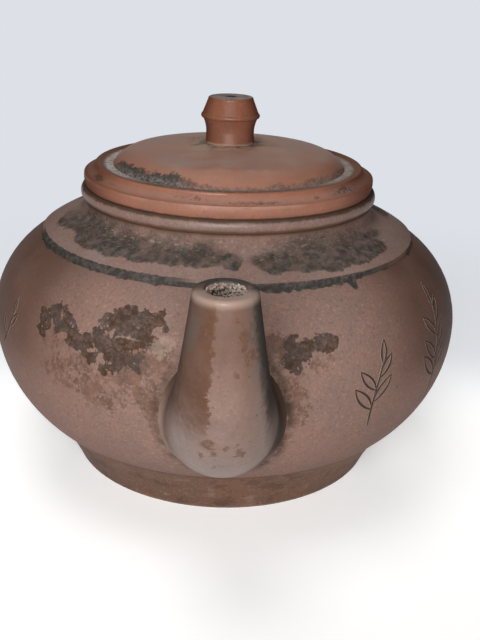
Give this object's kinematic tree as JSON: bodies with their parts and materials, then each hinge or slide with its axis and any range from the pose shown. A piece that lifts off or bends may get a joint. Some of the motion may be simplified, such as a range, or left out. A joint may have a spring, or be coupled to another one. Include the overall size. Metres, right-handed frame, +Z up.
{
  "type": "teapot",
  "caption": "Unglazed brown clay teapot with a squat round belly, stepped shoulder, short curved spout over a pierced strainer, ear handle and a stepped lid with a tapered knob that lifts off.",
  "frame": {"origin": "on the table under the middle of the pot: where the belly's turning axis meets the plane that the foot ring stands on, halfway between the spout's and the handle's farthest points", "axes": "+Z up along the turning axis, -Y out towards the spout, +Y out towards the handle, +X to the right of someone who faces the spout"},
  "size_m": [0.15, 0.2196, 0.1163],
  "materials": {
    "body_clay": "matte",
    "foot_clay": "matte",
    "spout_clay": "matte",
    "lid_clay": "matte",
    "knob_clay": "satin"
  },
  "bodies": {
    "pot": {"foot_ring": "foot_clay", "base_plate": "foot_clay", "body_wall": "body_clay", "shoulder_plate": "body_clay", "neck_ring": "body_clay", "mouth_bead": "body_clay", "strainer": "spout_clay", "spout": "spout_clay", "handle": "spout_clay"},
    "lid": {"lid_flange": "lid_clay", "lid_band": "lid_clay", "lid_ledge": "lid_clay", "lid_dome": "lid_clay", "knob": "knob_clay"}
  },
  "joints": [
    {"name": "lid_lift", "type": "slide", "parent": "pot", "child": "lid", "axis": [0, 0, 1], "range_m": [0, 0.06]}
  ]
}
